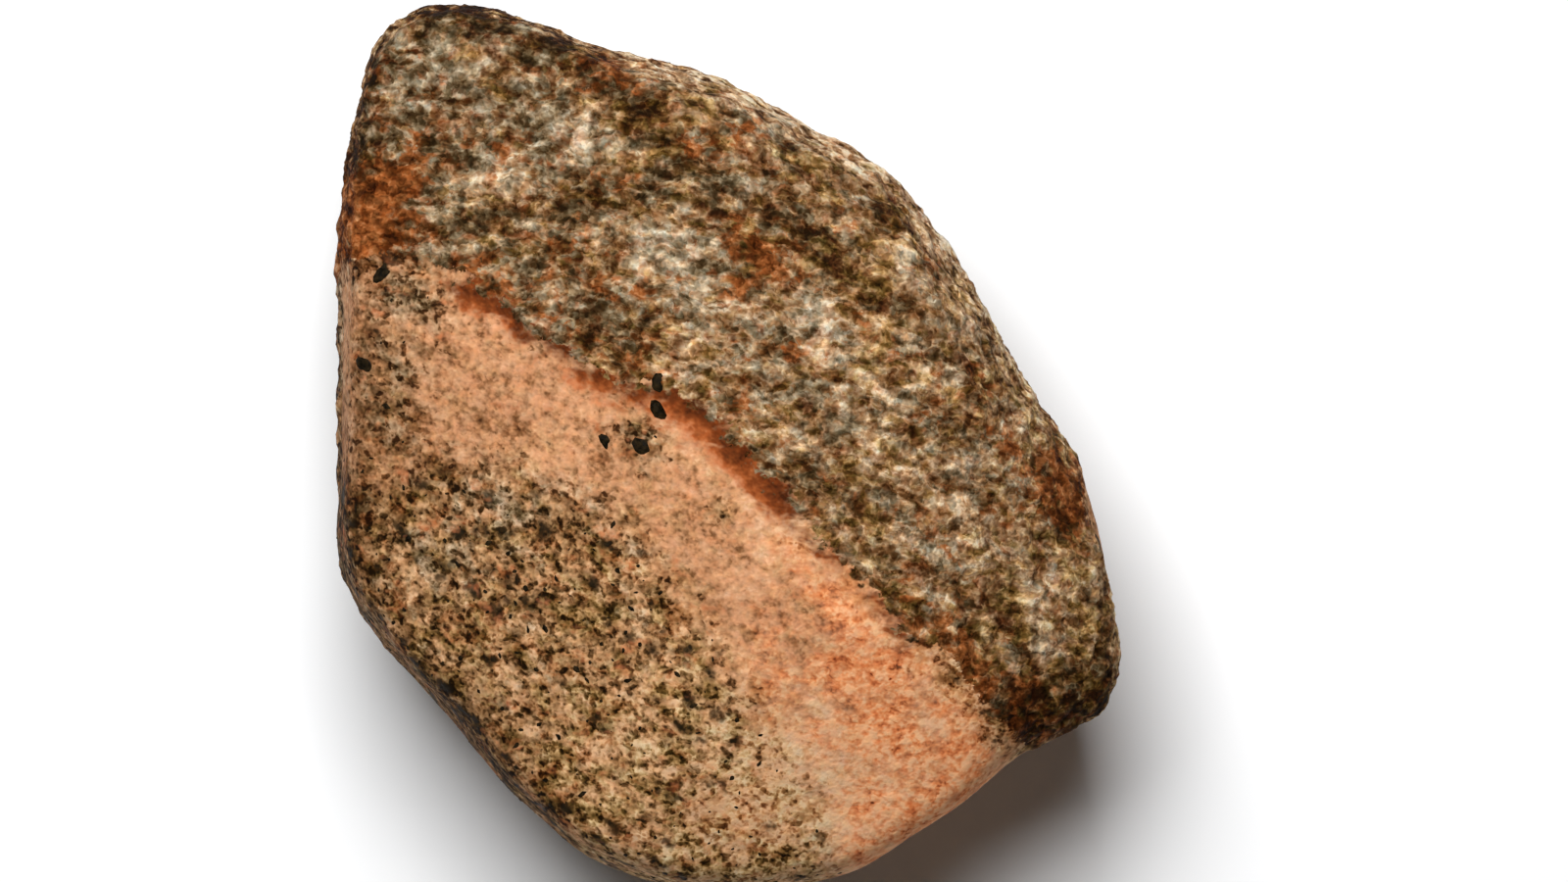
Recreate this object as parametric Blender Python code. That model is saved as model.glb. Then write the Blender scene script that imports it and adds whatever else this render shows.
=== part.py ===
"""A fist-sized stone meteorite, one loose piece of rock, lying on its back.

Its weathered skin and its pale broken face both look up, and it rests on one small flat spot.
The origin is on the surface that it rests on, below the middle of the stone's bounding box.
Lengths are in millimetres, and become metres where the mesh is made.
"""

import math

import bmesh
import bpy
import numpy as np
from mathutils import Vector, noise

# Driving sizes of the stone
WIDTH = 133.2
LENGTH = 150.7
THICKNESS = 88.0
HEART = (0.0, 0.0, 44.0)

# How finely the surface is divided, and how far out it is looked for
CUTS_ALONG_AN_EDGE = 25
FARTHEST_REACH = 130.0
HALVINGS = 32

# Roundings: the arris at the widest line, where faces meet, and the corners of the outline
WIDEST_LINE_ROUND = 7.0
FACE_BLEND = 1.1
CORNER_ROUND_DEG = 2.5
SLANT = 0.92

# The outline seen from above, anticlockwise from the right-hand corner
OUTLINE = (
    (66.6, -37.3),
    (63.9, -17.3),
    (60.6, -4.0),
    (51.4, 10.2),
    (43.1, 24.3),
    (31.9, 41.2),
    (25.5, 48.0),
    (12.2, 55.0),
    (0.8, 61.4),
    (-9.4, 65.2),
    (-21.0, 67.4),
    (-31.5, 71.4),
    (-47.8, 75.5),
    (-57.8, 71.8),
    (-61.8, 62.7),
    (-63.9, 50.2),
    (-66.1, 36.8),
    (-65.0, 26.0),
    (-65.2, 4.3),
    (-66.4, -15.7),
    (-64.9, -24.0),
    (-56.3, -36.0),
    (-46.0, -45.6),
    (-37.2, -57.8),
    (-23.6, -69.2),
    (-6.9, -74.5),
    (9.8, -74.8),
    (23.1, -70.7),
    (36.4, -62.0),
    (49.3, -51.6),
    (64.8, -43.9),
)

# Flanks: azimuth in degrees, height of the widest line, lean above it and below it in degrees
FLANKS = (
    (0, 48, 16, 20),
    (40, 47, 14, 17),
    (75, 45, 13, 20),
    (110, 43, 12, 16),
    (150, 42, 9, 14),
    (180, 42, 8, 15),
    (215, 40, 8, 18),
    (250, 40, 8, 18),
    (300, 54, 9, 26),
    (330, 52, 14, 22),
)

# Faces of the upper side: a point on each, the azimuth it faces and its tilt from level
UPPER_FACES = (
    # skin: crown, upper left, upper shoulder, right, right shoulder
    ((-23.6, 14.3, 84.0), 76, 16),
    ((-23.6, 14.3, 84.0), 122, 24),
    ((24.0, 38.0, 70.0), 55, 42),
    ((9.8, -8.2, 88.0), 13, 22),
    ((30.6, -31.5, 82.0), 0, 35),
    ((56.0, -8.0, 62.0), 18, 52),
    # broken face: by the crest, left, speckled slope, lower right
    ((9.8, -8.2, 88.0), 212, 14),
    ((-23.6, 14.3, 84.0), 194, 24),
    ((-20.0, -35.0, 78.0), 218, 27),
    ((30.6, -31.5, 82.0), 287, 30),
    # dark corner
    ((57.0, -44.0, 62.0), 320, 48),
)

# Faces of the under side, in the same form
UNDER_FACES = (
    # from the edge of the flat spot outwards
    ((16.0, 14.0, 0.0), 40, 29),
    ((-6.0, 20.0, 0.0), 100, 25),
    ((-27.0, 6.0, 0.0), 165, 28),
    ((-16.0, -18.0, 0.0), 230, 29),
    ((6.0, -21.0, 0.0), 285, 30),
    ((25.0, -6.0, 0.0), 345, 27),
    # chips off the lower flank
    ((56.0, 4.0, 24.0), 12, 58),
    ((24.0, 47.0, 22.0), 66, 54),
    ((-51.0, 69.0, 22.0), 128, 61),
    ((-61.0, -12.0, 20.0), 198, 64),
    ((-30.0, -59.0, 22.0), 243, 52),
    ((38.0, -55.0, 34.0), 308, 49),
)

# Shallow hollows in the broken face: middle, half width and depth
HOLLOWS = (((-33.0, 11.0), 13.0, 1.6), ((18.0, -31.0), 15.0, 1.6))

# Wear: size of the lumps and how far they stand out or in
LUMPS = ((34.0, 1.1), (14.0, 0.6))
LUMP_SHIFT = 3.7

# Colour and finish
STONE_COLOUR = (0.24, 0.15, 0.085, 1.0)
STONE_ROUGHNESS = 0.85


def clear_scene():
    for thing in list(bpy.data.objects):
        bpy.data.objects.remove(thing)


def outline_reach(azimuth):
    """Distance from the middle to the outline, along each azimuth in radians."""
    corners = np.array(OUTLINE)
    turns = np.unwrap(np.arctan2(corners[:, 1], corners[:, 0]))
    wrapped = (azimuth - turns[0]) % (2 * math.pi) + turns[0]
    first = np.searchsorted(turns, wrapped, side="right") - 1
    start = corners[first]
    side = corners[(first + 1) % len(corners)] - start
    along = np.stack([np.cos(azimuth), np.sin(azimuth)], axis=1)
    crossed = along[:, 0] * side[:, 1] - along[:, 1] * side[:, 0]
    return (start[:, 0] * side[:, 1] - start[:, 1] * side[:, 0]) / crossed


def rounded_reach(azimuth):
    """The outline with its corners rounded by averaging over a small angle."""
    turn = math.radians(CORNER_ROUND_DEG)
    return sum(outline_reach(azimuth + part * turn) for part in (-1, -0.5, 0, 0.5, 1)) / 5


def flank_value(azimuth, column):
    table = np.array(FLANKS, float)
    return np.interp(np.degrees(azimuth) % 360, table[:, 0], table[:, column], period=360)


def outside_flank(points):
    """How far each point is outside the barrel of the flanks."""
    azimuth = np.arctan2(points[:, 1], points[:, 0])
    rise = points[:, 2] - flank_value(azimuth, 1)
    lean = np.where(rise > 0, flank_value(azimuth, 2), flank_value(azimuth, 3))
    drawn_in = np.hypot(rise, WIDEST_LINE_ROUND) - WIDEST_LINE_ROUND
    distance = np.hypot(points[:, 0], points[:, 1]) - rounded_reach(azimuth)
    return SLANT * distance + np.tan(np.radians(lean)) * drawn_in


def outside_faces(points, faces, upward):
    """How far each point is outside each of the faces, one row for each face."""
    rows = []
    for place, azimuth, tilt in faces:
        sideways = math.sin(math.radians(tilt))
        normal = np.array(
            [
                sideways * math.cos(math.radians(azimuth)),
                sideways * math.sin(math.radians(azimuth)),
                upward * math.cos(math.radians(tilt)),
            ]
        )
        rows.append((points - np.array(place)) @ normal)
    return rows


def outside_stone(points):
    """Above 0 outside the stone and below 0 in it, with every meeting of faces rounded."""
    rows = np.stack(
        [
            outside_flank(points),
            *outside_faces(points, UPPER_FACES, 1),
            *outside_faces(points, UNDER_FACES, -1),
        ]
    )
    most = rows.max(axis=0)
    return most + FACE_BLEND * np.log(np.exp((rows - most) / FACE_BLEND).sum(axis=0))


def pushed_out(directions):
    """The point of the stone's surface along each direction from its heart."""
    near = np.zeros(len(directions))
    far = np.full(len(directions), FARTHEST_REACH)
    for _ in range(HALVINGS):
        middle = (near + far) / 2
        outside = outside_stone(np.array(HEART) + directions * middle[:, None]) > 0
        far = np.where(outside, middle, far)
        near = np.where(outside, near, middle)
    return np.array(HEART) + directions * near[:, None]


def weathered(points, directions):
    """The hollows of the broken face, and low lumps over the whole stone."""
    moved = points.copy()
    upper = points[:, 2] > HEART[2]
    for middle, half_width, depth in HOLLOWS:
        apart = np.hypot(*(points[:, :2] - middle).T)
        moved[:, 2] -= upper * depth * np.exp(-((apart / half_width) ** 2))
    for size, height in LUMPS:
        for index, point in enumerate(points):
            lump = noise.noise(Vector(point / size) + Vector((LUMP_SHIFT, size, 0.0)))
            moved[index] += directions[index] * height * lump
    return moved


def fitted(points):
    """Brought to the driving sizes, centred over the origin, with the rest level at 0."""
    low, high = points.min(axis=0), points.max(axis=0)
    low[2] = 0.0
    share = (points - low) / (high - low)
    return share * (WIDTH, LENGTH, THICKNESS) - (WIDTH / 2, LENGTH / 2, 0.0)


def cut_flat_spot(shape):
    """Takes off what is below the rest level, and closes the cut with one flat face."""
    cut = bmesh.ops.bisect_plane(
        shape,
        geom=[*shape.verts, *shape.edges, *shape.faces],
        plane_co=(0.0, 0.0, 0.0),
        plane_no=(0.0, 0.0, 1.0),
        clear_inner=True,
    )
    rim = [part for part in cut["geom_cut"] if isinstance(part, bmesh.types.BMEdge)]
    bmesh.ops.contextual_create(shape, geom=rim)


def stone_material():
    material = bpy.data.materials.new("meteorite_stone")
    material.use_nodes = True
    shader = material.node_tree.nodes["Principled BSDF"]
    shader.inputs["Base Color"].default_value = STONE_COLOUR
    shader.inputs["Roughness"].default_value = STONE_ROUGHNESS
    shader.inputs["Metallic"].default_value = 0.0
    return material


def make_meteorite():
    shape = bmesh.new()
    bmesh.ops.create_cube(shape, size=2.0)
    bmesh.ops.subdivide_edges(
        shape, edges=shape.edges, cuts=CUTS_ALONG_AN_EDGE, use_grid_fill=True
    )
    # Evening out the angle between the points of a divided cube
    grid = np.tan(np.array([vertex.co for vertex in shape.verts]) * math.pi / 4)
    directions = grid * (WIDTH, LENGTH, THICKNESS)
    directions /= np.linalg.norm(directions, axis=1)[:, None]
    points = fitted(weathered(pushed_out(directions), directions))
    for vertex, point in zip(shape.verts, points):
        vertex.co = Vector(point) / 1000
    cut_flat_spot(shape)
    bmesh.ops.triangulate(shape, faces=shape.faces, quad_method="SHORT_EDGE")
    bmesh.ops.recalc_face_normals(shape, faces=shape.faces)
    mesh = bpy.data.meshes.new("meteorite")
    shape.to_mesh(mesh)
    shape.free()
    mesh.shade_smooth()
    mesh.materials.append(stone_material())
    stone = bpy.data.objects.new("meteorite", mesh)
    bpy.context.scene.collection.objects.link(stone)


clear_scene()
make_meteorite()
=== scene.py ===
"""A fist-sized stone meteorite with a rust-stained skin and a pink broken face, on a pale table.

Lengths are in millimetres, and become metres where a mesh, a light or the camera is made.
"""

import math

import bmesh
import bpy
import numpy as np
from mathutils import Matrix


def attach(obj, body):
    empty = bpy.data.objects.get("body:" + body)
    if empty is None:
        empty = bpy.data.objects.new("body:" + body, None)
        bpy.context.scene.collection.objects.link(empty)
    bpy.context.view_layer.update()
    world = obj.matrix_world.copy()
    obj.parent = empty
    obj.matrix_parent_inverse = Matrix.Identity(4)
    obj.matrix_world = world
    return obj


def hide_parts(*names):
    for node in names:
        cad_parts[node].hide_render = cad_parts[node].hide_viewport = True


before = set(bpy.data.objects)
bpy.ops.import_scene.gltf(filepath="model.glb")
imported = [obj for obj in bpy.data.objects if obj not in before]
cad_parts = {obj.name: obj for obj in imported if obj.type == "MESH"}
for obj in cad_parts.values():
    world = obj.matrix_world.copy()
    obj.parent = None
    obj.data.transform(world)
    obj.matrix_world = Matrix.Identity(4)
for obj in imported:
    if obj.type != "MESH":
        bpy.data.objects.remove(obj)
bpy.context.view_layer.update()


# The stone: one natural piece of coarse rock, as found. It mostly wears a rough, rust-stained skin.
# A flat break across its lower left shows fresh rock: smooth salmon pink beside the skin, speckled
# salt and pepper further down. A low ragged step, rusty in places, runs between skin and break.
MM = 0.001
FACET = 0.85
EVENING_PASSES = 24
EVENING_SHARE = 0.5
WELD_DISTANCE = 1e-5

# Where the skin ends above the break, from the left rim to the right one
BREAK_LINE = (
    (-80.0, 34.0),
    (-64.9, 31.0),
    (-59.4, 32.3),
    (-51.9, 32.3),
    (-45.3, 28.5),
    (-40.3, 26.0),
    (-33.6, 20.2),
    (-28.6, 17.7),
    (-23.6, 14.3),
    (-15.3, 10.2),
    (-8.6, 9.3),
    (-1.9, 4.3),
    (4.8, -2.3),
    (9.8, -8.2),
    (16.4, -15.7),
    (21.4, -19.8),
    (26.4, -25.7),
    (30.6, -31.5),
    (36.4, -34.8),
    (41.4, -40.7),
    (46.4, -47.3),
    (50.6, -50.7),
    (60.0, -62.0),
)

# Azimuth in degrees, and the height where the break gives way to the skin of the flank
BREAK_FOOT = (
    (0, 58),
    (150, 56),
    (170, 48),
    (185, 42),
    (215, 34),
    (235, 28),
    (260, 20),
    (290, 16),
    (320, 24),
    (350, 58),
)

# Smaller breaks on the right flank and underneath: middle and half sizes
CHIPS = (
    ((66.0, -14.0, 44.0), (12.0, 12.0, 14.0)),
    ((60.0, -26.0, 28.0), (14.0, 15.0, 9.0)),
    ((-22.0, 34.0, 14.0), (20.0, 15.0, 9.0)),
)

# Where the plain pink rock turns speckled, from the left rim to the lower one
SPECKLE_LINE = (
    (-75.0, -5.0),
    (-57.0, -4.0),
    (-50.0, -1.5),
    (-37.0, -2.3),
    (-30.0, -5.7),
    (-22.0, -7.3),
    (-13.6, -12.3),
    (-8.6, -22.3),
    (-1.9, -30.7),
    (3.0, -40.7),
    (9.8, -47.3),
    (14.8, -55.7),
    (18.0, -67.3),
    (19.8, -90.0),
)

# How far the change to speckled rock reaches before that line and beyond it
SPECKLE_CHANGE = (-8.0, 9.0)

# Heights between which the marks below fade out down the flanks
MARKS_FADE = (34.0, 50.0)

# Soft oval marks on the upper side: x, y, half length, half width, turn in degrees and strength
EXTRA_SPECKLE = (
    (-54.0, 26.0, 10.0, 6.0, -20, 0.85),
    (-57.0, 9.0, 9.0, 24.0, 0, 0.7),
    (-0.3, -10.7, 3.5, 3.0, 0, 0.8),
    (22.3, -22.0, 9.0, 5.0, -50, 0.5),
    (10.6, -61.5, 9.0, 9.0, 0, 0.6),
    (-14.5, 1.5, 7.5, 5.0, -50, 0.75),
)
RUST = (
    (-59.8, 39.3, 12.0, 7.0, 55, 1.9),
    (-21.9, 63.8, 8.0, 2.6, -25, 0.7),
    (-36.9, 51.8, 5.5, 2.6, 0, 0.6),
    (-47.7, 46.8, 4.0, 3.0, 0, 0.6),
    (-16.9, 45.2, 6.5, 2.0, 20, 0.8),
    (-29.4, 29.3, 6.0, 4.0, 0, 0.5),
    (-4.4, 50.2, 5.0, 3.0, -20, 0.7),
    (4.8, 33.5, 8.5, 2.8, -35, 1.0),
    (2.3, 26.0, 3.0, 3.0, 0, 0.6),
    (9.8, 16.8, 4.0, 2.6, -20, 0.8),
    (22.3, 22.7, 5.0, 1.6, -75, 0.7),
    (30.6, 31.8, 5.0, 4.0, 0, 0.5),
    (3.9, 53.5, 4.0, 2.5, 0, 0.6),
    (49.8, -1.5, 8.5, 2.6, -40, 1.0),
    (42.3, -12.3, 4.0, 2.4, 80, 0.6),
    (58.0, -10.0, 6.0, 4.0, -65, 0.7),
    (40.6, -38.5, 12.0, 5.0, -50, 0.9),
    (41.0, -54.0, 5.5, 3.5, 20, 0.8),
    (-8.6, -27.3, 5.0, 4.0, 0, 0.5),
    (-33.6, -42.3, 4.5, 3.0, 0, 0.5),
    (-40.3, -28.2, 5.5, 4.0, 0, 0.4),
    (-38.5, 28.5, 9.0, 4.0, -35, 0.6),
    (-27.0, 20.5, 8.0, 4.0, -35, 0.7),
    (-15.0, 15.0, 8.0, 4.0, -30, 0.5),
    (4.0, 5.0, 7.0, 4.0, -50, 0.6),
    (52.0, 1.0, 10.0, 3.0, -50, 0.6),
    (39.0, -21.0, 5.0, 8.0, 0, 0.4),
    (-27.0, 30.0, 9.0, 13.0, 0, 0.4),
    (56.0, -6.0, 9.0, 6.0, -60, 0.5),
    (48.0, -47.0, 6.0, 5.0, -30, 0.9),
    (53.0, -3.0, 12.0, 4.0, -55, 0.7),
    (44.0, -46.0, 8.0, 7.0, -30, 0.8),
    (-64.0, 38.0, 3.0, 9.0, 0, 0.9),
    (57.0, -8.0, 10.0, 5.0, -62, 1.2),
    (36.0, -31.0, 12.0, 5.0, -50, 0.7),
    (46.0, -42.0, 10.0, 7.0, -40, 0.8),
)
# Pale marks: partly the rock's own pale patches and partly painted light. Those along the bottom
# and on the left band lighten faces that the lamp leaves dim.
PALE_AND_PAINTED_LIGHT = (
    (-50.3, 62.7, 7.0, 3.0, -10, 0.7),
    (-37.8, 66.5, 4.5, 2.6, 0, 0.6),
    (-28.6, 58.5, 9.5, 4.6, -35, 0.9),
    (-35.5, 45.5, 12.0, 5.0, -5, 0.9),
    (-8.6, 33.0, 12.0, 6.5, -15, 0.9),
    (0.6, 20.5, 10.0, 6.0, -20, 0.6),
    (14.8, 22.7, 9.5, 5.5, -50, 1.0),
    (18.1, 2.7, 4.5, 2.6, 80, 1.0),
    (34.8, -7.3, 10.0, 7.0, -30, 1.0),
    (43.9, -18.2, 8.0, 3.0, -40, 0.8),
    (53.9, -29.0, 8.0, 4.0, 80, 0.8),
    (3.9, 56.0, 5.5, 3.2, -20, 0.8),
    (-13.6, 61.0, 6.5, 3.0, -20, 0.6),
    (22.3, 43.5, 5.5, 3.4, -35, 0.9),
    (14.5, 39.3, 4.5, 2.0, -35, 0.5),
    (-6.9, 14.3, 6.0, 3.5, -25, 0.6),
    (34.0, 22.0, 9.0, 4.0, -55, 0.5),
    (14.0, 52.0, 6.0, 2.6, -30, 0.7),
    (32.5, 34.5, 6.0, 3.0, -55, 0.6),
    (43.5, 16.0, 7.0, 3.0, -60, 0.5),
    (9.8, -56.0, 12.0, 10.0, 0, 0.9),
    (-21.0, -48.0, 7.0, 7.0, 0, 0.4),
    (-43.0, 20.0, 7.0, 5.0, -30, 0.5),
    (4.0, -57.0, 9.0, 9.0, 0, 0.8),
    (18.0, -60.0, 10.0, 9.0, 0, 0.7),
    (6.0, 6.5, 9.0, 4.0, -35, 0.6),
    (25.0, 10.0, 8.0, 6.0, -45, 0.7),
    (-6.0, -69.0, 18.0, 7.0, 5, 0.4),
    (-41.0, -40.0, 14.0, 7.0, -48, 0.5),
    (-25.0, -52.0, 8.0, 8.0, 0, 0.4),
    (-65.0, 21.0, 5.0, 20.0, 0, 1.2),
    (-24.0, 37.0, 11.0, 4.0, -10, 0.6),
    (-17.0, 24.5, 4.0, 5.0, 0, 0.6),
    (3.5, 10.5, 10.0, 3.5, -30, 0.6),
    (21.0, 0.0, 10.0, 6.0, -40, 0.4),
    (38.0, -5.0, 6.0, 8.0, 0, 0.4),
    (12.0, 2.0, 14.0, 8.0, -40, 0.5),
    (39.0, -9.0, 8.0, 9.0, 0, 0.5),
    (40.0, -10.0, 9.0, 9.0, 0, 1.4),
    (15.0, 54.0, 9.0, 3.0, -30, 1.2),
    (36.5, 34.0, 7.0, 3.0, -55, 1.2),
    (-12.0, 64.0, 8.0, 2.5, -20, 0.9),
)
# Dark marks: partly the rock's own dark patches and partly painted shade. Those along the left rim,
# the lower left edge and the corner at the lower right darken faces that turn from the lamp.
DARK_AND_PAINTED_SHADE = (
    (-43.6, 74.0, 15.0, 3.0, -8, 0.9),
    (-60.0, 61.0, 14.0, 3.0, 78, 0.5),
    (-60.4, 49.3, 6.0, 4.0, 90, 0.9),
    (-23.6, 62.7, 9.0, 4.5, -25, 0.9),
    (-13.6, 56.0, 5.0, 4.0, -50, 0.9),
    (-9.0, 49.5, 8.5, 3.2, -60, 0.8),
    (-2.8, 44.5, 6.0, 3.2, -20, 0.8),
    (2.9, 33.5, 10.0, 3.8, -40, 0.9),
    (16.0, 33.8, 10.0, 4.0, -40, 1.0),
    (28.0, 38.5, 5.0, 3.5, -50, 0.5),
    (24.5, 27.0, 8.0, 3.4, -60, 0.6),
    (-22.7, 21.8, 3.6, 3.0, 0, 0.9),
    (-52.0, 36.5, 5.0, 3.0, 10, 0.6),
    (37.3, 2.7, 9.0, 3.5, -30, 0.2),
    (19.8, -6.5, 10.5, 4.0, -20, 0.35),
    (30.6, -10.7, 3.6, 2.6, 0, 0.9),
    (57.0, -8.2, 9.5, 5.0, -62, 0.6),
    (48.9, -32.3, 10.0, 2.6, -65, 1.0),
    (55.5, -44.0, 11.5, 5.5, 20, 1.3),
    (28.9, -26.5, 4.0, 3.6, 0, 0.8),
    (-64.6, -10.0, 14.0, 3.6, 90, 0.9),
    (-48.8, -44.5, 27.0, 3.8, -48, 0.5),
    (-29.5, -61.0, 5.0, 4.5, 0, 1.1),
    (-62.0, 12.0, 4.0, 20.0, 0, 0.9),
    (-48.0, -1.0, 8.0, 5.0, 0, 0.5),
    (-18.0, -1.0, 7.0, 6.0, -30, 0.6),
    (-44.0, 71.0, 12.0, 4.0, -5, 0.7),
    (-30.0, 68.0, 9.0, 3.0, -20, 0.8),
    (-48.0, 36.5, 7.0, 4.0, 0, 0.5),
    (-50.5, 47.0, 8.0, 9.0, 0, 0.6),
    (-12.0, 43.0, 7.0, 4.0, 0, 0.4),
    (-30.0, 33.0, 8.0, 4.0, 0, 0.4),
    (-3.0, -19.0, 12.0, 8.0, -50, 0.4),
    (8.0, -30.0, 13.0, 10.0, -40, 0.5),
    (-42.0, 5.0, 12.0, 5.0, -20, 0.3),
    (-21.0, -8.0, 8.0, 6.0, 0, 0.4),
    (-30.0, -50.0, 6.0, 6.0, 0, 0.3),
    (-46.0, 1.5, 13.0, 4.0, 0, 0.35),
    (-17.0, -10.0, 7.0, 5.0, -40, 0.45),
    (-2.0, -26.0, 9.0, 6.0, -60, 0.5),
    (27.0, -2.0, 6.0, 6.0, 0, 0.1),
    (-62.5, -2.0, 3.0, 26.0, 0, 0.6),
    (-38.0, 64.0, 12.0, 8.0, 0, 0.35),
    (-40.0, -50.0, 22.0, 6.0, -48, 0.8),
)
BLUSH = (
    (24.8, -37.3, 13.0, 5.0, 10, 1.1),
    (28.0, -49.0, 13.0, 8.0, -40, 0.9),
    (24.8, -60.0, 9.0, 7.0, 0, 0.8),
    (39.0, -45.0, 8.0, 7.0, 0, 0.8),
    (23.0, -68.0, 8.0, 5.0, 0, 0.8),
    (14.0, -20.0, 12.0, 4.5, -45, 0.5),
    (33.0, -62.0, 12.0, 6.0, 30, 0.9),
    (18.0, -50.0, 12.0, 12.0, 0, 0.5),
    (26.0, -26.0, 12.0, 4.0, -50, 0.5),
    (20.0, -19.0, 14.0, 6.0, -52, 0.6),
    (8.0, -45.0, 8.0, 20.0, 0, 0.55),
    (2.0, -60.0, 8.0, 10.0, 0, 0.5),
    (40.0, -52.0, 7.0, 7.0, 0, 0.9),
    (22.0, -30.0, 14.0, 6.0, -55, 0.7),
    (26.0, -44.0, 12.0, 16.0, 0, 0.6),
    (4.0, -62.0, 14.0, 8.0, 0, 0.8),
)
SCARPS = (
    (-38.5, 23.5, 11.0, 5.0, -37, 1.0),
    (-21.5, 8.5, 8.5, 5.0, -55, 0.9),
    (-5.4, 2.7, 10.5, 5.5, -52, 1.2),
    (5.6, -6.7, 8.0, 5.0, -39, 1.1),
    (-30.0, 19.0, 8.0, 4.0, -35, 0.7),
    (18.0, -19.5, 9.0, 4.0, -50, 0.6),
    (27.0, -29.0, 8.0, 4.0, -50, 0.6),
    (4.0, -4.0, 9.0, 5.0, -48, 1.4),
)

# The relief: how far its lumps, flakes, grains, pits and waves are apart, and how high they are.
# The step at the break has a lip on its upper side and a hollow on its lower one.
RELIEF = {
    "Lump Size": 9.0,
    "Lump Height": 0.8,
    "Flake Size": 4.2,
    "Flake Height": 1.3,
    "Grain Size": 2.1,
    "Grain Height": 0.3,
    "Pit Size": 3.4,
    "Pit Depth": 0.8,
    "Wave Size": 11.0,
    "Wave Height": 0.35,
    "Step Height": 0.7,
}
LIP_WIDTH = 7.0
HOLLOW_WIDTH = 9.0
STEP_FACE = (-1.6, 2.6)

# Heights between which the relief sets in above the flat spot
FOOT_FADE = (0.0, 3.0)

# The edge of the breaks: size and depth of its bends and of its tatters, and how soft it is
BEND_SIZE = 8.0
BEND_DEPTH = 6.0
TATTER_SIZE = 2.2
TATTER_DEPTH = 2.5
EDGE_SOFTNESS = 1.4

# The fine tooth of the broken rock
TOOTH_SIZE = 1.8
TOOTH_HEIGHT = 0.24

# Above this height the patterns are squeezed upright, so that the steep rim shows whole grains
SQUEEZE_FROM = 40.0
SQUEEZE = 0.2

# How far apart the patterns in the rock's colours are
PATTERN_SIZES = {
    "broad": 12.0,
    "patchy": 5.0,
    "smudges": 4.5,
    "clots": 4.2,
    "layers": 4.0,
    "middling": 3.2,
    "curls": 2.3,
    "spots": 2.0,
    "pits": 1.5,
    "grains": 1.2,
    "fuzz": 1.1,
    "dots": 0.95,
}

# Patterns that lie in long shapes: their turn in degrees, and how much each axis is squeezed
FLAKES_LIE = (14, (0.62, 1.3, 1.0))
FLAKY = (12, (0.75, 1.3, 1.0))
LAYERED = (10, (0.3, 1.3, 1.0))
SLANTED = (35, (0.8, 1.2, 1.0))
SMUDGED = (42, (0.55, 1.35, 1.0))

# Distance over which the colours drift one step to the east or the north, and with them a painted
# light that is lighter to the east and darker to the north
DRIFT_SPAN = 60.0

# How steep the rim is where its colours and its painted light and shade set in, and where they end
# below it
RIM_SETS_IN = (0.55, 0.95)
RIM_ENDS = (1.35, 1.0)


def steady(low, high, value):
    """0 below low, 1 above high, and a smooth rise between them."""
    share = np.clip((value - low) / (high - low), 0.0, 1.0)
    return share * share * (3.0 - 2.0 * share)


def beside_line(points, line):
    """Distance of each point from a line seen from above, above 0 on its lower left."""
    nearest = np.full(len(points), 1e9)
    signed = np.zeros(len(points))
    for start, end in zip(np.array(line), np.array(line)[1:]):
        along = end - start
        offset = points[:, :2] - start
        share = np.clip(offset @ along / (along @ along), 0.0, 1.0)
        apart = np.hypot(*(offset - share[:, None] * along).T)
        side = np.sign(offset[:, 0] * along[1] - offset[:, 1] * along[0])
        signed = np.where(apart < nearest, side * apart, signed)
        nearest = np.minimum(apart, nearest)
    return signed


def marks(points, spots):
    """Strength of soft oval marks, which fade out down the flanks."""
    most = np.zeros(len(points))
    for x, y, half_length, half_width, turn, strength in spots:
        cosine = math.cos(math.radians(turn))
        sine = math.sin(math.radians(turn))
        across = points[:, 0] - x
        up = points[:, 1] - y
        along = (across * cosine + up * sine) / half_length
        aside = (up * cosine - across * sine) / half_width
        most = np.maximum(most, strength * np.exp(-(along**2 + aside**2)))
    return most * steady(*MARKS_FADE, points[:, 2])


def broken_depth(points):
    """How far each point is inside a break, in millimetres, below 0 on the skin."""
    azimuth = np.degrees(np.arctan2(points[:, 1], points[:, 0])) % 360
    foot = np.interp(azimuth, *np.array(BREAK_FOOT, float).T, period=360)
    depth = np.minimum(beside_line(points, BREAK_LINE), points[:, 2] - foot)
    for middle, half_sizes in CHIPS:
        reach = np.linalg.norm((points - middle) / np.array(half_sizes), axis=1)
        depth = np.maximum(depth, (1.0 - reach) * min(half_sizes))
    return depth


def speckle_share(points):
    """How crowded the black flecks of the fresh rock are, from 0 to 1."""
    beyond = steady(*SPECKLE_CHANGE, beside_line(points, SPECKLE_LINE))
    return np.maximum(beyond, marks(points, EXTRA_SPECKLE))


def plain_mesh(thing):
    """What an object's modifiers make of it, as a mesh of its own."""
    bpy.context.view_layer.update()
    graph = bpy.context.evaluated_depsgraph_get()
    return bpy.data.meshes.new_from_object(
        thing.evaluated_get(graph), preserve_all_data_layers=True, depsgraph=graph
    )


def placed(name, mesh):
    thing = bpy.data.objects.new(name, mesh)
    bpy.context.scene.collection.objects.link(thing)
    return thing


def point_places(mesh):
    """Where the points of a mesh are, in millimetres."""
    places = np.zeros(len(mesh.vertices) * 3)
    mesh.vertices.foreach_get("co", places)
    return places.reshape(-1, 3) / MM


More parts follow.
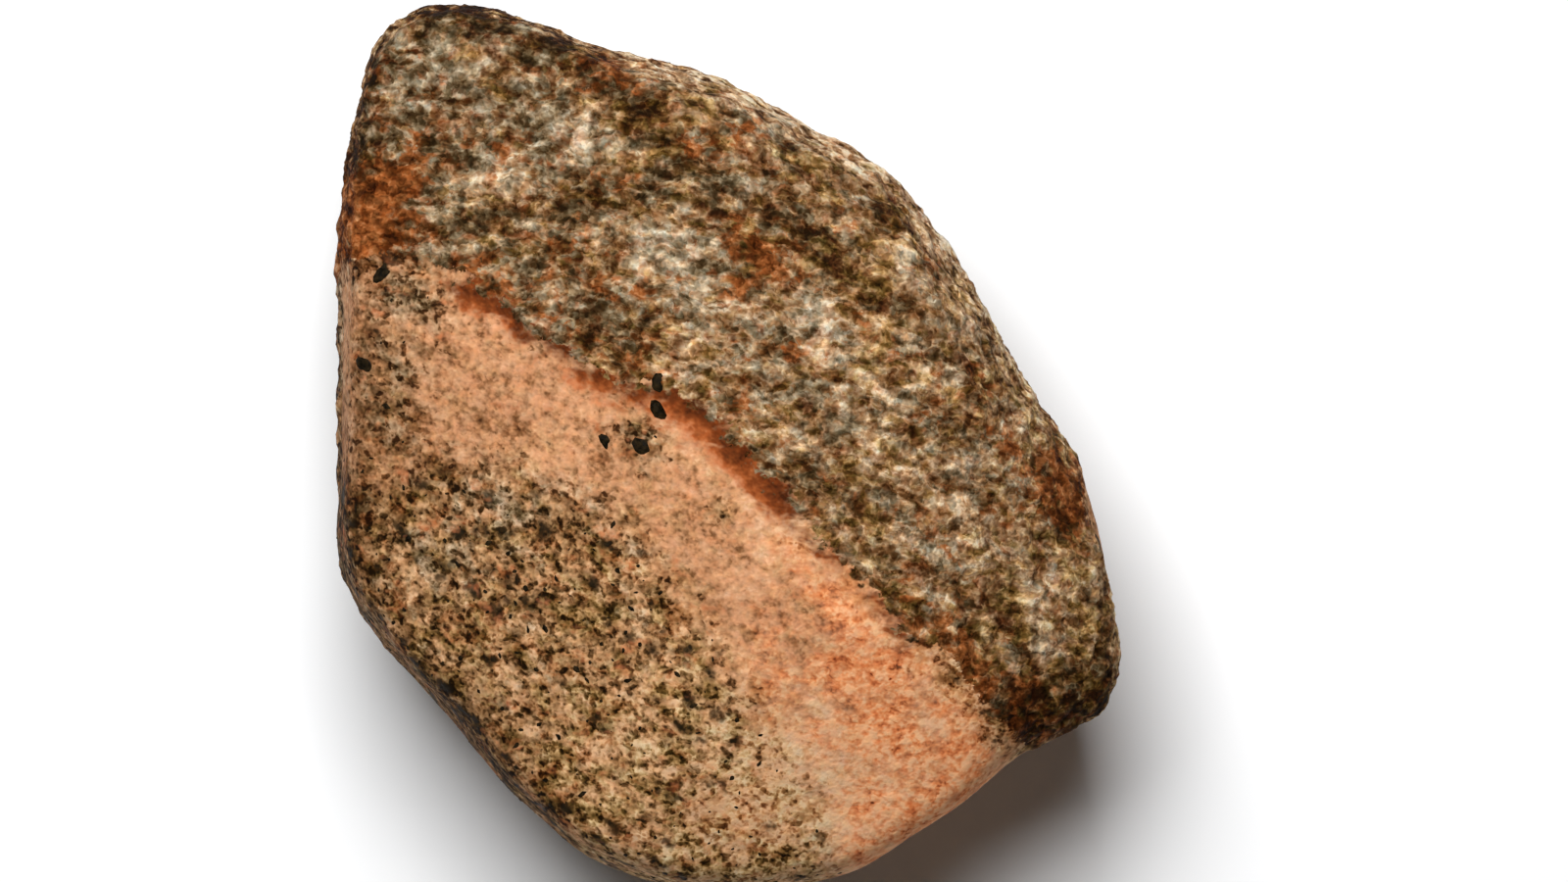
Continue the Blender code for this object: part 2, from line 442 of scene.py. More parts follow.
def even_stone():
    """The solid stone with small facets of one size, ready to be roughened."""
    shape = bmesh.new()
    shape.from_mesh(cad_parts["meteorite"].data)
    bmesh.ops.remove_doubles(shape, verts=shape.verts, dist=WELD_DISTANCE)
    mesh = bpy.data.meshes.new("stone_core")
    shape.to_mesh(mesh)
    shape.free()
    core = placed("stone_core", mesh)
    facets = core.modifiers.new("facets", "REMESH")
    facets.mode = "VOXEL"
    facets.voxel_size = FACET * MM
    evening = core.modifiers.new("evening", "SMOOTH")
    evening.factor = EVENING_SHARE
    evening.iterations = EVENING_PASSES
    evened = plain_mesh(core)
    bpy.data.objects.remove(core)
    return evened


def keep_values(mesh, name, values):
    layer = mesh.attributes.new(name, "FLOAT", "POINT")
    layer.data.foreach_set("value", values.astype(np.float32))


class Wire:
    """A socket of a node tree. Sums, products and quotients of wires add the Math nodes."""

    def __init__(self, tree, socket=None):
        self.tree = tree
        self.socket = socket

    def node(self, kind, settings=None, sockets=None, output=0):
        made = self.tree.nodes.new(kind)
        for name, value in (settings or {}).items():
            if name == "stops":
                self.set_stops(made.color_ramp, value)
            else:
                setattr(made, name, value)
        for key, value in (sockets or {}).items():
            if isinstance(value, Wire):
                self.tree.links.new(value.socket, made.inputs[key])
            else:
                made.inputs[key].default_value = value
        return Wire(self.tree, made.outputs[output] if made.outputs else None)

    def set_stops(self, ramp, stops):
        while len(ramp.elements) < len(stops):
            ramp.elements.new(1.0)
        for element, (place, colour) in zip(ramp.elements, stops):
            element.position = place
            element.color = colour

    def maths(self, operation, first, second=0.0):
        return self.node("ShaderNodeMath", {"operation": operation}, {0: first, 1: second})

    def __add__(self, other):
        return self.maths("ADD", self, other)

    __radd__ = __add__

    def __sub__(self, other):
        return self.maths("SUBTRACT", self, other)

    def __rsub__(self, other):
        return self.maths("SUBTRACT", other, self)

    def __mul__(self, other):
        return self.maths("MULTIPLY", self, other)

    __rmul__ = __mul__

    def __truediv__(self, other):
        return self.maths("DIVIDE", self, other)

    def __rtruediv__(self, other):
        return self.maths("DIVIDE", other, self)

    def __abs__(self):
        return self.maths("ABSOLUTE", self)

    def at_least(self, other):
        return self.maths("MAXIMUM", self, other)

    def at_most(self, other):
        return self.maths("MINIMUM", self, other)

    def rise(self, low, high):
        """0 below low and 1 above high, or the other way round where low is the larger."""
        sockets = {"Value": self, "From Min": low, "From Max": high}
        return self.node("ShaderNodeMapRange", {"interpolation_type": "SMOOTHSTEP"}, sockets)

    def colours(self, *stops):
        return self.node("ShaderNodeValToRGB", {"stops": stops}, {"Fac": self})

    def mix(self, low, high):
        """Low where this is 0 and high where it is 1, both of them colours."""
        return self.node("ShaderNodeMix", {"data_type": "RGBA"}, {0: self, 6: low, 7: high}, 2)

    def vector(self, operation, other, key=1):
        return self.node("ShaderNodeVectorMath", {"operation": operation}, {0: self, key: other})

    def beside(self, output):
        """Another output of the node that this one comes from."""
        return Wire(self.tree, self.socket.node.outputs[output])

    def parts(self):
        """The three numbers of a vector or a colour."""
        first = self.node("ShaderNodeSeparateXYZ", None, {0: self})
        return first, first.beside(1), first.beside(2)

    def read(self, name, kind="FLOAT"):
        """What the points keep under a name, in a tree of geometry nodes."""
        return self.node("GeometryNodeInputNamedAttribute", {"data_type": kind}, {"Name": name})

    def keep(self, name, kind, value):
        """This geometry with a value kept on its points under a name."""
        sockets = {"Geometry": self, "Name": name, "Value": value}
        return self.node("GeometryNodeStoreNamedAttribute", {"data_type": kind}, sockets)

    def noise(self, size, detail, rough=0.5, output="Fac"):
        """Cloudy noise from 0 to 1 over these places, with its clouds about one size apart."""
        sockets = {"Vector": self, "Scale": 1.0 / size, "Detail": detail, "Roughness": rough}
        return self.node("ShaderNodeTexNoise", None, sockets, output)

    def cells(self, size):
        """How far these places are from the middles of rounded cells about one size apart."""
        return self.node("ShaderNodeTexVoronoi", None, {"Vector": self, "Scale": 1.0 / size})


def warped(rest):
    """Places shifted by slow noise, so that patterns on them bend as grown rock does."""
    drift = rest.noise(5.0, 1.0, output="Color").vector("SUBTRACT", (0.5, 0.5, 0.5))
    return rest.vector("ADD", drift.vector("SCALE", 3.0, "Scale"))


def drawn_out(rest, turn, scale):
    """Places squeezed so that patterns on them lie in long shapes, turned by so many degrees."""
    sockets = {"Vector": rest, "Angle": math.radians(turn)}
    turned = rest.node("ShaderNodeVectorRotate", {"rotation_type": "Z_AXIS"}, sockets)
    return turned.vector("MULTIPLY", scale)


def new_tree(name, inputs):
    """A tree of geometry nodes with a number for each input: a free wire and the input wires."""
    tree = bpy.data.node_groups.new(name, "GeometryNodeTree")
    for way in ("INPUT", "OUTPUT"):
        tree.interface.new_socket("Geometry", in_out=way, socket_type="NodeSocketGeometry")
    for asked in inputs:
        tree.interface.new_socket(asked, in_out="INPUT", socket_type="NodeSocketFloat")
    given = tree.nodes.new("NodeGroupInput")
    return Wire(tree), {socket.name: Wire(tree, socket) for socket in given.outputs}


def finished_tree(geometry, material):
    """Gives the geometry its material and leads it out of its tree."""
    sockets = {"Geometry": geometry, "Material": material}
    done = geometry.node("GeometryNodeSetMaterial", None, sockets)
    geometry.tree.links.new(done.socket, geometry.tree.nodes.new("NodeGroupOutput").inputs[0])
    return geometry.tree


def shaped_by(tree, inputs, mesh):
    """The plain mesh that a tree of geometry nodes makes of another mesh."""
    thing = placed("shaping", mesh)
    growth = thing.modifiers.new("shaping", "NODES")
    growth.node_group = tree
    for item in tree.interface.items_tree:
        if item.name in inputs:
            growth[item.identifier] = inputs[item.name]
    made = plain_mesh(thing)
    bpy.data.objects.remove(thing)
    return made


def relief_tree(material):
    """Geometry nodes that roughen the stone's skin, ripple its breaks and raise the step."""
    start, size = new_tree("stone_relief", RELIEF)
    rest = start.node("GeometryNodeInputPosition").vector("SCALE", 1.0 / MM, "Scale")
    height = rest.parts()[2]
    bent = warped(rest)
    above = (height - SQUEEZE_FROM).at_least(0.0)
    drawn = start.node("ShaderNodeCombineXYZ", None, {2: above * -SQUEEZE})
    upright = rest.vector("ADD", drawn)

    # Ragging the edge of the breaks
    winding = start.read("broken") + (rest.noise(BEND_SIZE, 2.0) - 0.5) * BEND_DEPTH
    ragged = winding + (bent.noise(TATTER_SIZE, 2.0) - 0.5) * TATTER_DEPTH
    fresh = ragged.rise(-EDGE_SOFTNESS, EDGE_SOFTNESS)

    # The skin: broad lumps, flakes, standing grains and pits
    lumps = (rest.noise(size["Lump Size"], 1.0) - 0.5) * 2.0 * size["Lump Height"]
    flakes = drawn_out(bent, *FLAKES_LIE).noise(size["Flake Size"], 4.0, 0.6)
    flakes = (flakes - 0.5) * 2.0 * size["Flake Height"]
    grains = (0.45 - bent.cells(size["Grain Size"])) * size["Grain Height"]
    pits = bent.noise(size["Pit Size"], 2.0).rise(0.42, 0.26) * size["Pit Depth"]
    skin = lumps + flakes + grains - pits

    # The breaks: long low waves and a fine tooth
    waves = (rest.noise(size["Wave Size"], 2.0) - 0.5) * 2.0 * size["Wave Height"]
    face = waves + (bent.noise(TOOTH_SIZE, 2.0) - 0.5) * TOOTH_HEIGHT

    # The step: the lip of the skin stands up, and the break is hollowed beside it
    off_the_lip = winding.rise(*STEP_FACE)
    lip = start.maths("EXPONENT", winding.at_most(0.0) / LIP_WIDTH) * (1.0 - off_the_lip)
    hollow = start.maths("EXPONENT", winding.at_least(0.0) / -HOLLOW_WIDTH) * off_the_lip
    step = (lip - hollow) * size["Step Height"] * (0.5 + start.read("scarp"))

    relief = skin * (1.0 - fresh) + face * fresh
    kept = size["Geometry"].keep("rest", "FLOAT_VECTOR", upright)
    kept = kept.keep("bent", "FLOAT_VECTOR", bent.vector("ADD", drawn))
    broad = rest.noise(PATTERN_SIZES["broad"], 3.0, 0.6, "Color")
    kept = kept.keep("broad", "FLOAT_VECTOR", broad)
    patchy = drawn_out(bent, *SLANTED).noise(PATTERN_SIZES["patchy"], 2.0, 0.6, "Color")
    kept = kept.keep("patchy", "FLOAT_VECTOR", patchy)
    kept = kept.keep("relief", "FLOAT", relief)
    kept = kept.keep("ragged", "FLOAT", ragged)
    lift = (relief + step) * height.rise(*FOOT_FADE) * MM
    offset = start.node("GeometryNodeInputNormal").vector("SCALE", lift, "Scale")
    moved = start.node("GeometryNodeSetPosition", None, {"Geometry": kept, "Offset": offset})
    return finished_tree(moved, material)


# The tones below are as they look under the lamp. The rock's own colours are this share of them
LIT_SHARE = 0.87


def srgb(red, green, blue):
    """A colour of the lit rock, given in the 0 to 255 steps of a screen, as light."""
    steps = (red / 255, green / 255, blue / 255)
    light = (s / 12.92 if s <= 0.04045 else ((s + 0.055) / 1.055) ** 2.4 for s in steps)
    return (*(LIT_SHARE * share for share in light), 1.0)


SKIN_TONES = (
    (0.0, srgb(34, 14, 2)),
    (0.2, srgb(68, 38, 12)),
    (0.38, srgb(108, 74, 42)),
    (0.52, srgb(142, 106, 72)),
    (0.68, srgb(174, 138, 102)),
    (0.84, srgb(212, 178, 140)),
    (1.0, srgb(240, 216, 182)),
)
GREY_TONES = (
    (0.0, srgb(32, 19, 4)),
    (0.2, srgb(62, 45, 22)),
    (0.38, srgb(97, 79, 54)),
    (0.52, srgb(131, 112, 85)),
    (0.68, srgb(164, 145, 118)),
    (0.84, srgb(200, 180, 150)),
    (1.0, srgb(232, 215, 188)),
)
OLIVE_TONES = (
    (0.0, srgb(26, 14, 0)),
    (0.2, srgb(58, 40, 8)),
    (0.38, srgb(96, 72, 28)),
    (0.52, srgb(140, 106, 58)),
    (0.68, srgb(182, 146, 92)),
    (0.84, srgb(222, 188, 134)),
    (1.0, srgb(244, 220, 172)),
)
RUST_TONES = (
    (0.0, srgb(40, 14, 0)),
    (0.25, srgb(90, 44, 12)),
    (0.5, srgb(150, 86, 42)),
    (0.75, srgb(200, 134, 86)),
    (1.0, srgb(240, 192, 146)),
)
FLESHY_TONES = (
    (0.0, srgb(44, 16, 2)),
    (0.2, srgb(84, 44, 20)),
    (0.38, srgb(126, 80, 50)),
    (0.52, srgb(160, 112, 78)),
    (0.68, srgb(192, 144, 110)),
    (1.0, srgb(240, 202, 166)),
)
PINK_TONES = (
    (0.0, srgb(76, 42, 20)),
    (0.25, srgb(142, 94, 58)),
    (0.5, srgb(202, 144, 102)),
    (0.7, srgb(222, 162, 118)),
    (1.0, srgb(246, 192, 150)),
)
SANDY_TONES = (
    (0.0, srgb(26, 12, 2)),
    (0.2, srgb(64, 40, 16)),
    (0.4, srgb(110, 76, 44)),
    (0.55, srgb(144, 104, 66)),
    (0.7, srgb(176, 132, 90)),
    (0.85, srgb(206, 156, 110)),
    (1.0, srgb(230, 182, 136)),
)
FLUSHED_TONES = (
    (0.0, srgb(84, 34, 12)),
    (0.3, srgb(160, 80, 42)),
    (0.55, srgb(220, 127, 74)),
    (0.75, srgb(240, 154, 99)),
    (1.0, srgb(254, 188, 138)),
)
SCARP_TONES = (
    (0.1, srgb(70, 32, 12)),
    (0.4, srgb(128, 62, 26)),
    (0.6, srgb(166, 88, 44)),
    (0.85, srgb(206, 128, 84)),
)
CLOT_TONE = srgb(36, 29, 17)
MIDDLE_LIGHT = 0.42
STONE_SPECULAR = 0.05


def flecks(places, size, share, stray, soft):
    """Grains about one size apart, more of them and larger where the share is high: 0 to 1."""
    middle = places.cells(size)
    chance = middle.beside("Color").parts()[0]
    reach = ((share - chance) * 1.2).at_most(0.48)
    return (reach - middle + stray).rise(0.0, soft)


def centred(colour):
    """The three numbers of a noise's colour, moved to lie around 0."""
    return [part - 0.5 for part in colour.parts()]


class RockPatterns:
    """The marks kept on the stone's points, and the noises and grains that its colours share."""

    def __init__(self, tree):
        self.start = Wire(tree)
        rest = self.rest = self.read("rest", "Vector")
        bent = self.bent = self.read("bent", "Vector")
        self.eastward = rest.parts()[0] / DRIFT_SPAN
        self.northward = rest.parts()[1] / DRIFT_SPAN
        self.ragged = self.read("ragged")
        self.pale = self.read("pale")
        self.dark = self.read("dark")
        self.rust = self.read("rust")
        self.blush = self.read("blush")
        self.scarp = self.read("scarp")
        steep = self.read("steep")
        self.rim_tone_and_painted_light = steep.rise(*RIM_SETS_IN) * steep.rise(*RIM_ENDS)

        # Clouds, from broad to fine
        self.broad = centred(self.read("broad", "Vector"))
        self.patchy = centred(self.read("patchy", "Vector"))
        flaky = drawn_out(bent, *FLAKY)
        self.middling = centred(flaky.noise(PATTERN_SIZES["middling"], 2.0, 0.6, "Color"))
        fuzz = rest.noise(PATTERN_SIZES["fuzz"], 1.2, 0.7, "Color")
        self.fine = centred(fuzz)

        # Grains, and frayed and curled places that blur their borders
        crumbled = flaky.vector("ADD", fuzz.vector("SCALE", 2.2, "Scale"))
        grains = crumbled.cells(PATTERN_SIZES["grains"])
        self.grain = centred(grains.beside("Color"))
        # Painted shade in the gaps between the grains
        self.painted_crevice_shade = grains.rise(0.3, 0.8)
        self.frayed = rest.vector("ADD", fuzz.vector("SCALE", 1.2, "Scale"))
        curls = self.frayed.noise(PATTERN_SIZES["curls"], 1.5, 0.6, "Color")
        self.curly = centred(curls)
        slanted = drawn_out(bent, *SLANTED)
        self.tattered = slanted.vector("ADD", curls.vector("SCALE", 3.5, "Scale"))

    def read(self, name, output="Fac"):
        return self.start.node("ShaderNodeAttribute", {"attribute_name": name}, None, output)


def skin_lightness(rock):
    """How light the skin is: in thin layers near the narrow end, and granular elsewhere, with
    painted shade and painted light laid over it.
    """
    eastward, northward, middling, curly = rock.eastward, rock.northward, rock.middling, rock.curly
    layered = (northward - eastward * 0.4).rise(0.3, 0.9)
    layers = drawn_out(rock.bent, *LAYERED).noise(PATTERN_SIZES["layers"], 2.0, 0.6)
    layers = (layers - 0.5) * layered
    threads = abs(middling[0] + rock.fine[0] * 0.2).rise(0.10, 0.0)
    fine_threads = abs(curly[0]).rise(0.09, 0.0)
    light = MIDDLE_LIGHT + middling[1] * 1.05 + curly[1] * (0.8 + rock.patchy[2] * 1.5)
    # Painted shade: the skin is darker in the gaps between its grains
    light = light + rock.fine[0] * 0.25 + rock.grain[0] * 0.2 - rock.painted_crevice_shade * 0.1
    light = light + rock.broad[0] * 0.5 + threads * 0.12 + fine_threads * 0.13
    # Painted shade and light: the skin is darker in the hollows of its relief and lighter on its
    # raised flakes
    light = light + rock.read("relief") * 0.16
    # The pale and dark marks: partly the rock's own patches, and partly painted light on faces the
    # lamp leaves dim and painted shade on faces turned from it
    light = light + rock.patchy[1] * 0.5 + rock.pale * 0.12 - rock.dark * 0.28
    # Painted light and shade on the steep rim: lighter on its north and east side, darker on its
    # south and west side
    light = light + rock.rim_tone_and_painted_light * (eastward + northward) * 0.1
    # Painted light: the skin is a little lighter to the east and darker to the north
    light = light + eastward * 0.03 - northward * 0.01 + layers * 0.35
    # Painted shade and light: on the steep rim the darks are made darker and the lights lighter
    return light + (light - MIDDLE_LIGHT) * rock.rim_tone_and_painted_light * 0.5


def skin_colour(rock):
    """The skin: grey, cream, olive and fleshy grains, with rust stains over them."""
    light = skin_lightness(rock)
    broad, patchy, middling = rock.broad, rock.patchy, rock.middling
    curly, grain = rock.curly, rock.grain
    tinge = middling[0] * 4.0 + broad[1] * 3.0 + rock.eastward * 0.3
    yellow = (tinge + grain[1] * 0.8 - rock.pale * 0.7 + rock.dark * 0.3).rise(-0.2, 0.8)
    grey = grain[1] * 0.8 - tinge + patchy[0] * 2.0 + rock.pale * 0.4 - rock.rim_tone_and_painted_light * 1.2
    grey = (grey - rock.eastward * 0.2).rise(-0.2, 0.7)
    fleshy = (curly[2] * 3.0 + patchy[2] * 3.0 + middling[2] * 2.0).rise(0.1, 1.0)
    stain = middling[2] * 3.0 + broad[2] * 3.0 + curly[2] * 2.5 + grain[2] * 0.7
    stain = (stain + rock.rust * 1.5 - 0.42).rise(0.0, 1.0)
    skin = (yellow * 0.8).mix(light.colours(*SKIN_TONES), light.colours(*OLIVE_TONES))
    skin = grey.mix(skin, light.colours(*GREY_TONES))
    skin = (fleshy * 0.6).mix(skin, light.colours(*FLESHY_TONES))
    return stain.mix(skin, (light * 0.85 + 0.02).colours(*RUST_TONES))


def sand_colour(rock, sandy, yellow_sand):
    """The rock among the flecks: sandy, yellow, cool and reddish grains."""
    cool = rock.patchy[0] * 3.0 + rock.curly[1] * 2.0 + rock.broad[0] * 2.0
    cool = cool - rock.eastward * 0.5 + rock.northward * 0.6 - rock.blush - 0.05
    red = rock.middling[2] * 3.5 + rock.grain[2] * 0.6 + rock.broad[2] * 2.0 + rock.rust
    sand = (yellow_sand * 0.7).mix(sandy.colours(*SANDY_TONES), sandy.colours(*OLIVE_TONES))
    sand = (cool.rise(0.0, 0.9) * 0.7).mix(sand, sandy.colours(*GREY_TONES))
    sand = (red.rise(0.1, 0.9) * 0.5).mix(sand, sandy.colours(*RUST_TONES))
    return (rock.blush.rise(0.2, 1.0) * 0.35).mix(sand, sandy.colours(*FLUSHED_TONES))


def pink_colour(rock, pink, yellow_sand, creases):
    """The rock without flecks: salmon pink, and flushed and pitted in its lower part."""
    blush = rock.blush
    stray = rock.curly[0] * 0.3 + rock.fine[0] * 0.35
    pits = flecks(rock.tattered, PATTERN_SIZES["pits"], blush * 0.35 + 0.08, stray, 0.3)
    flushed = pink + 0.08 + rock.fine[1] + rock.curly[1] * 1.2 - creases * 0.25 - pits * 0.5
    flush = (blush + rock.middling[2] * 1.2 + rock.broad[2] * 0.8).rise(0.1, 0.9)
    flush = flush * blush.rise(0.0, 0.4)
    pink_rock = (yellow_sand * 0.3).mix(pink.colours(*PINK_TONES), pink.colours(*OLIVE_TONES))
    return flush.mix(pink_rock, flushed.colours(*FLUSHED_TONES))


def fresh_colour(rock):
    """The fresh rock with its flecks and the step's rusty face, and where its dark clots are."""
    broad, patchy, middling = rock.broad, rock.patchy, rock.middling
    curly, fine, grain = rock.curly, rock.fine, rock.grain
    ragged, scarp = rock.ragged, rock.scarp

    # The dark flecks, which spill over from the skin a little way
    spill = (ragged + middling[1] * 8.0).rise(8.0, 0.0) * (0.9 - scarp * 1.2)
    speckle = rock.read("speckle").at_least(spill)
    crowd = speckle * (1.05 + patchy[0] * 1.5)
    share = (crowd * 1.4 - 0.45).at_most(0.8)
    clots = flecks(rock.tattered, PATTERN_SIZES["clots"], share, fine[0] * 0.7, 0.4)
    spots = flecks(rock.tattered, PATTERN_SIZES["spots"], crowd * 1.3 + 0.03, fine[1] * 0.5, 0.25)
    dots = flecks(rock.frayed, PATTERN_SIZES["dots"], crowd * 1.2 + 0.1, fine[2] * 0.4, 0.25)
    veins = abs(curly[1]).rise(0.06, 0.0) * crowd
    flecked = clots * 0.3 + spots * 0.4 + dots * 0.22 + veins * 0.1

    # How light the sandy and the pink rock are
    smudge = drawn_out(rock.rest, *SMUDGED).noise(PATTERN_SIZES["smudges"], 3.0, 0.65)
    cloud = grain[0] * 0.16 + fine[0] * 0.8 + middling[0] * 0.6
    shade = speckle.rise(0.1, 0.7) * (patchy[1] + 0.15).at_least(0.0) * 0.9
    # Painted light and shade: besides the rock's own tone, the pale and dark marks partly lighten
    # dim faces and darken turned ones, and the fresh rock is made lighter to the east and towards
    # the lower end and darker to the west and north
    tone_and_painted_light = broad[0] * 0.35 + rock.pale * 0.2 - rock.dark * 0.3
    tone_and_painted_light = tone_and_painted_light + rock.eastward * 0.07 - rock.northward * 0.13 - 0.02
    creased = (patchy[0] * 3.0 + 0.4).at_least(0.0)
    creases = abs(middling[2] + curly[2] * 0.6).rise(0.07, 0.0) * creased
    sandy = 0.83 + cloud + curly[2] * 0.8 - flecked - shade + tone_and_painted_light
    smudged = smudge.rise(0.45, 0.8) * (0.35 - rock.blush * 0.2)
    pink = 0.66 + cloud + curly[2] * 0.5 - flecked - smudged - creases * 0.08 + tone_and_painted_light

    # Their colours, and the rust on the face of the step, with a painted shadow below its lip
    yellow_sand = patchy[1] * 4.0 + middling[1] * 1.5 + grain[1] * 0.6 + broad[1]
    yellow_sand = (yellow_sand - rock.northward * 0.4).rise(0.0, 0.9)
    sand = sand_colour(rock, sandy, yellow_sand)
    pink_rock = pink_colour(rock, pink, yellow_sand, creases)
    fresh = (speckle + middling[2] * 0.9).rise(0.1, 0.9).mix(pink_rock, sand)
    fresh = (clots * 0.8).mix(fresh, CLOT_TONE)
    rusty = scarp * ragged.rise(9.0, 1.0) + middling[1] * 1.6 + patchy[2] * 1.4 + fine[0] * 0.5
    # Painted shadow: the face of the step is darker close under the lip
    streaks_and_lip_shadow = smudge + fine[1] * 0.5 + curly[1] * 0.5 + ragged.rise(0.5, 6.0) * 0.5 - 0.2
    return rusty.rise(0.15, 0.8).mix(fresh, streaks_and_lip_shadow.colours(*SCARP_TONES)), clots


def stone_material():
    """The skin and the fresh rock side by side, mottled alike."""
    material = bpy.data.materials.new("weathered_rock")
    material.use_nodes = True
    tree = material.node_tree
    rock = RockPatterns(tree)
    curly, fine = rock.curly, rock.fine
    broken, clots = fresh_colour(rock)
    share = rock.ragged + rock.middling[0] * 5.0 + fine[0] * 3.0 + rock.grain[0] * 1.5
    share = share.rise(-0.4, 0.4)

    # Small warm and cool differences from grain to grain
    warm = (curly[0] - curly[2]) * 0.36 + (fine[0] - fine[2]) * 0.34
    warm = warm * (1.0 - share * 0.5)
    mottled = {0: warm + 1.0, 1: curly[1] * 0.1 + fine[1] * 0.1 + 1.0, 2: 1.0 - warm}
    mottled = rock.start.node("ShaderNodeCombineXYZ", None, mottled)
    colour = share.mix(skin_colour(rock), broken).vector("MULTIPLY", mottled)

    height = (curly[1] * 0.8 + fine[0] * 0.35) * (1.0 - rock.ragged.rise(-0.5, 0.5) * 0.6)
    sockets = {"Strength": 1.0, "Distance": MM, "Height": height}
    bump = rock.start.node("ShaderNodeBump", None, sockets, "Normal")
    roughness = 0.85 - clots * share * 0.25 - rock.grain[0] * 0.2
    shader = tree.nodes["Principled BSDF"]
    tree.links.new(colour.socket, shader.inputs["Base Color"])
    tree.links.new(bump.socket, shader.inputs["Normal"])
    tree.links.new(roughness.socket, shader.inputs["Roughness"])
    shader.inputs["Specular IOR Level"].default_value = STONE_SPECULAR
    return material


def roughened(core, material):
    """The stone's mesh with its relief, and with what its material reads kept on its points."""
    points = point_places(core)
    keep_values(core, "broken", broken_depth(points))
    keep_values(core, "speckle", speckle_share(points))
    kinds = {"rust": RUST, "pale": PALE_AND_PAINTED_LIGHT, "dark": DARK_AND_PAINTED_SHADE, "blush": BLUSH, "scarp": SCARPS}
    for name, spots in kinds.items():
        keep_values(core, name, marks(points, spots))
    normals = np.zeros(len(core.vertices) * 3)
    core.vertices.foreach_get("normal", normals)
    keep_values(core, "steep", 1.0 - normals[2::3])
    return shaped_by(relief_tree(material), RELIEF, core)


stone = placed("weathered_stone", roughened(even_stone(), stone_material()))
stone.data.shade_smooth()
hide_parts("meteorite")
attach(stone, "root")


# The black crystals: angular grains of a dark mineral that grew in the rock, bared by the break.
# Six large ones lie near the step and by the left rim, and smaller ones stand a little proud among
# the flecks. They are harder than the rock round them and have a dull gloss.
LARGE_CRYSTALS = (
    (-58.1, 28.8, 2.1),
    (-61.0, 14.3, 1.6),
    (-20.6, 1.2, 1.9),
    (-14.1, 0.2, 2.1),
    (-11.6, 10.7, 1.7),
    (-11.6, 6.7, 1.9),
)
CRYSTALS = {
    "Least Gap": 2.4,
    "Crowding": 0.08,
    "Smallest": 0.3,
    "Largest": 0.9,
    "Sunk Share": 0.3,
    "Wear": 0.32,
}
SCATTER_SEED = 5

# How far they lean and turn, and their length, width and height as shares of their size
TILTS = (-0.4, 0.4)
SPINS = (0.0, 6.3)
LENGTHS = (0.9, 1.4)
WIDTHS = (0.6, 1.0)
HEIGHTS = (0.4, 0.6)

# Large crystals lie above this height, and points below it count as far away
UPPER_SIDE = 40.0
FAR_AWAY = 1000.0


def crystal_material():
    material = bpy.data.materials.new("black_mineral")
    material.use_nodes = True
    start = Wire(material.node_tree)
    places = start.node("ShaderNodeTexCoord", None, None, "Object")
    places = places.vector("SCALE", 1.0 / MM, "Scale")
    tone = places.noise(0.9, 2.0, 0.6)
    colour = tone.colours((0.4, srgb(14, 9, 2)), (0.75, srgb(50, 38, 20)))
    shader = material.node_tree.nodes["Principled BSDF"]
    material.node_tree.links.new(colour.socket, shader.inputs["Base Color"])
    material.node_tree.links.new((tone * 0.6 + 0.35).socket, shader.inputs["Roughness"])
    shader.inputs["Specular IOR Level"].default_value = STONE_SPECULAR
    return material


